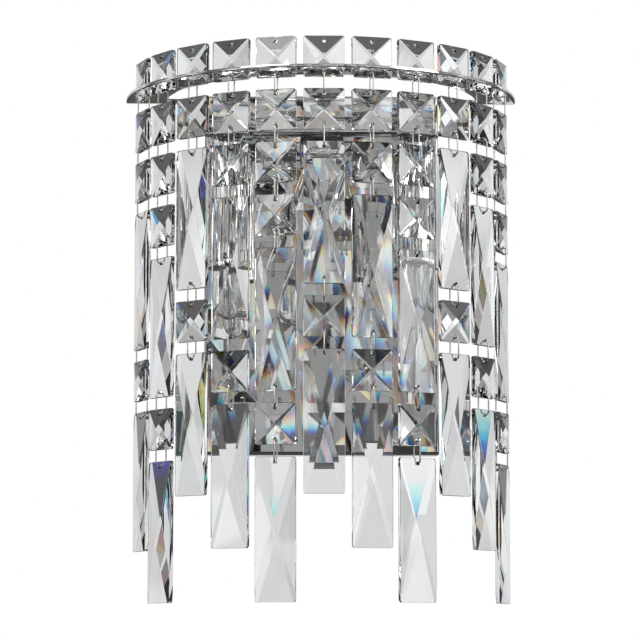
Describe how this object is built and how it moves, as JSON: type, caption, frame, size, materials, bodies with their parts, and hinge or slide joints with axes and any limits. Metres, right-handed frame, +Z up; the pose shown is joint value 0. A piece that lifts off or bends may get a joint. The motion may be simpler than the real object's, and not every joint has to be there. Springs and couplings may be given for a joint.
{
  "type": "crystal wall sconce",
  "caption": "Wall light with a chrome backplate, a flat half-round ring with standing crystals, curtains of faceted crystals on wire clips, and lamps inside.",
  "frame": {"origin": "centre of the mounting strap's rear face, on the wall", "axes": "+Z up, +X to the right as seen from the room, -Y out into the room"},
  "size_m": [0.22, 0.11, 0.2998],
  "materials": {
    "polished_chrome": "mirror polished chrome plating",
    "zinc_plated_steel": "bright zinc plating",
    "silver_wire": "bright drawn wire",
    "cut_crystal": "clear, cut and polished",
    "bulb_glass": "clear blown glass",
    "glazed_ceramic": "white glazed ceramic"
  },
  "bodies": {
    "fixture": {"wall_strap": "zinc_plated_steel", "ground_screw": "zinc_plated_steel", "side_screws": "polished_chrome", "backplate": "polished_chrome", "crown_ring": "polished_chrome", "lamp_bar": "polished_chrome", "plate_screws": "polished_chrome", "holder_discs": "polished_chrome", "holder_necks": "polished_chrome", "holder_tubes": "zinc_plated_steel", "holder_nuts": "zinc_plated_steel", "lamp_sleeves": "polished_chrome", "lamp_sockets": "glazed_ceramic", "bulbs": "bulb_glass", "crown_crystals": "cut_crystal"},
    "string_01": {"string_01_crystals": "cut_crystal", "string_01_clips": "silver_wire"},
    "pendant_01": {"pendant_01_crystal": "cut_crystal", "pendant_01_clip": "silver_wire"},
    "string_02": {"string_02_crystals": "cut_crystal", "string_02_clips": "silver_wire"},
    "pendant_02": {"pendant_02_crystal": "cut_crystal", "pendant_02_clip": "silver_wire"},
    "string_03": {"string_03_crystals": "cut_crystal", "string_03_clips": "silver_wire"},
    "pendant_03": {"pendant_03_crystal": "cut_crystal", "pendant_03_clip": "silver_wire"},
    "string_04": {"string_04_crystals": "cut_crystal", "string_04_clips": "silver_wire"},
    "pendant_04": {"pendant_04_crystal": "cut_crystal", "pendant_04_clip": "silver_wire"},
    "string_05": {"string_05_crystals": "cut_crystal", "string_05_clips": "silver_wire"},
    "pendant_05": {"pendant_05_crystal": "cut_crystal", "pendant_05_clip": "silver_wire"},
    "string_06": {"string_06_crystals": "cut_crystal", "string_06_clips": "silver_wire"},
    "pendant_06": {"pendant_06_crystal": "cut_crystal", "pendant_06_clip": "silver_wire"},
    "string_07": {"string_07_crystals": "cut_crystal", "string_07_clips": "silver_wire"},
    "pendant_07": {"pendant_07_crystal": "cut_crystal", "pendant_07_clip": "silver_wire"},
    "string_08": {"string_08_crystals": "cut_crystal", "string_08_clips": "silver_wire"},
    "pendant_08": {"pendant_08_crystal": "cut_crystal", "pendant_08_clip": "silver_wire"},
    "string_09": {"string_09_crystals": "cut_crystal", "string_09_clips": "silver_wire"},
    "pendant_09": {"pendant_09_crystal": "cut_crystal", "pendant_09_clip": "silver_wire"},
    "string_10": {"string_10_crystals": "cut_crystal", "string_10_clips": "silver_wire"},
    "pendant_10": {"pendant_10_crystal": "cut_crystal", "pendant_10_clip": "silver_wire"},
    "string_11": {"string_11_crystals": "cut_crystal", "string_11_clips": "silver_wire"},
    "pendant_11": {"pendant_11_crystal": "cut_crystal", "pendant_11_clip": "silver_wire"}
  },
  "joints": [
    {"name": "string_01_swing", "type": "hinge", "parent": "fixture", "child": "string_01", "pos_m": [-0.09868, -0.03588, 0.0984], "axis": [-0.3417, 0.9398, 0], "range_deg": [-1.5, 10]},
    {"name": "pendant_01_swing", "type": "hinge", "parent": "string_01", "child": "pendant_01", "pos_m": [-0.09868, -0.03588, -0.0688], "axis": [-0.3417, 0.9398, 0], "range_deg": [-2, 10]},
    {"name": "string_02_swing", "type": "hinge", "parent": "fixture", "child": "string_02", "pos_m": [-0.08707, -0.05869, 0.0984], "axis": [-0.559, 0.8292, 0], "range_deg": [-1.5, 10]},
    {"name": "pendant_02_swing", "type": "hinge", "parent": "string_02", "child": "pendant_02", "pos_m": [-0.08707, -0.05869, -0.0971], "axis": [-0.559, 0.8292, 0], "range_deg": [-2, 10]},
    {"name": "string_03_swing", "type": "hinge", "parent": "fixture", "child": "string_03", "pos_m": [-0.07028, -0.07802, 0.0984], "axis": [-0.743, 0.6693, 0], "range_deg": [-1.5, 10]},
    {"name": "pendant_03_swing", "type": "hinge", "parent": "string_03", "child": "pendant_03", "pos_m": [-0.07028, -0.07802, -0.0405], "axis": [-0.743, 0.6693, 0], "range_deg": [-2, 10]},
    {"name": "string_04_swing", "type": "hinge", "parent": "fixture", "child": "string_04", "pos_m": [-0.04931, -0.0927, 0.0984], "axis": [-0.8829, 0.4696, 0], "range_deg": [-1.5, 10]},
    {"name": "pendant_04_swing", "type": "hinge", "parent": "string_04", "child": "pendant_04", "pos_m": [-0.04931, -0.0927, -0.0688], "axis": [-0.8829, 0.4696, 0], "range_deg": [-2, 10]},
    {"name": "string_05_swing", "type": "hinge", "parent": "fixture", "child": "string_05", "pos_m": [-0.02541, -0.10188, 0.0984], "axis": [-0.9703, 0.242, 0], "range_deg": [-1.5, 10]},
    {"name": "pendant_05_swing", "type": "hinge", "parent": "string_05", "child": "pendant_05", "pos_m": [-0.02541, -0.10188, -0.0971], "axis": [-0.9703, 0.242, 0], "range_deg": [-2, 10]},
    {"name": "string_06_swing", "type": "hinge", "parent": "fixture", "child": "string_06", "pos_m": [0, -0.105, 0.0984], "axis": [-1, 0, 0], "range_deg": [-1.5, 10]},
    {"name": "pendant_06_swing", "type": "hinge", "parent": "string_06", "child": "pendant_06", "pos_m": [0, -0.105, -0.0405], "axis": [-1, 0, 0], "range_deg": [-2, 10]},
    {"name": "string_07_swing", "type": "hinge", "parent": "fixture", "child": "string_07", "pos_m": [0.02541, -0.10188, 0.0984], "axis": [-0.9703, -0.242, 0], "range_deg": [-1.5, 10]},
    {"name": "pendant_07_swing", "type": "hinge", "parent": "string_07", "child": "pendant_07", "pos_m": [0.02541, -0.10188, -0.0688], "axis": [-0.9703, -0.242, 0], "range_deg": [-2, 10]},
    {"name": "string_08_swing", "type": "hinge", "parent": "fixture", "child": "string_08", "pos_m": [0.04931, -0.0927, 0.0984], "axis": [-0.8829, -0.4696, 0], "range_deg": [-1.5, 10]},
    {"name": "pendant_08_swing", "type": "hinge", "parent": "string_08", "child": "pendant_08", "pos_m": [0.04931, -0.0927, -0.0971], "axis": [-0.8829, -0.4696, 0], "range_deg": [-2, 10]},
    {"name": "string_09_swing", "type": "hinge", "parent": "fixture", "child": "string_09", "pos_m": [0.07028, -0.07802, 0.0984], "axis": [-0.743, -0.6693, 0], "range_deg": [-1.5, 10]},
    {"name": "pendant_09_swing", "type": "hinge", "parent": "string_09", "child": "pendant_09", "pos_m": [0.07028, -0.07802, -0.0405], "axis": [-0.743, -0.6693, 0], "range_deg": [-2, 10]},
    {"name": "string_10_swing", "type": "hinge", "parent": "fixture", "child": "string_10", "pos_m": [0.08707, -0.05869, 0.0984], "axis": [-0.559, -0.8292, 0], "range_deg": [-1.5, 10]},
    {"name": "pendant_10_swing", "type": "hinge", "parent": "string_10", "child": "pendant_10", "pos_m": [0.08707, -0.05869, -0.0688], "axis": [-0.559, -0.8292, 0], "range_deg": [-2, 10]},
    {"name": "string_11_swing", "type": "hinge", "parent": "fixture", "child": "string_11", "pos_m": [0.09868, -0.03588, 0.0984], "axis": [-0.3417, -0.9398, 0], "range_deg": [-1.5, 10]},
    {"name": "pendant_11_swing", "type": "hinge", "parent": "string_11", "child": "pendant_11", "pos_m": [0.09868, -0.03588, -0.0971], "axis": [-0.3417, -0.9398, 0], "range_deg": [-2, 10]}
  ]
}
